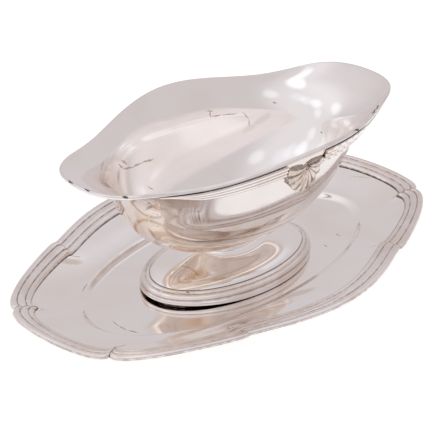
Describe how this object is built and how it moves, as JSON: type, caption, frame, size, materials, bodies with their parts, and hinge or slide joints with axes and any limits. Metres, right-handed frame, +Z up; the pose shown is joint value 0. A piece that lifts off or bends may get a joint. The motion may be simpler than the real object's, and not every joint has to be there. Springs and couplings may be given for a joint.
{
  "type": "sauce boat with stand",
  "caption": "Silver-plated sauce boat with a pouring lip at each end, on an oval moulded foot, standing loose on a shaped oval tray with a reeded border.",
  "frame": {"origin": "middle of the tray's flat underside, on the table", "axes": "+X along the tray and the boat, +Y across them, +Z up"},
  "size_m": [0.271, 0.1636, 0.0884],
  "materials": {
    "polished_silver_plate": "polished silver plate with a warm tarnish",
    "worn_silver_plate": "worn silver plate, darker in the grooves"
  },
  "bodies": {
    "stand": {"tray_plate": "polished_silver_plate", "tray_border_end_right": "worn_silver_plate", "tray_border_corner_far_right": "worn_silver_plate", "tray_border_side_far": "worn_silver_plate", "tray_border_corner_far_left": "worn_silver_plate", "tray_border_end_left": "worn_silver_plate", "tray_border_corner_near_left": "worn_silver_plate", "tray_border_side_near": "worn_silver_plate", "tray_border_corner_near_right": "worn_silver_plate"},
    "boat": {"bowl": "polished_silver_plate", "foot": "polished_silver_plate", "foot_ring": "worn_silver_plate", "shell_far": "worn_silver_plate", "rim_mount_far_right": "worn_silver_plate", "rim_mount_far_left": "worn_silver_plate", "shell_near": "worn_silver_plate", "rim_mount_near_right": "worn_silver_plate", "rim_mount_near_left": "worn_silver_plate"}
  },
  "joints": [
    {"name": "boat_lift", "type": "slide", "parent": "stand", "child": "boat", "axis": [0, 0, 1], "range_m": [0, 0.12]}
  ]
}
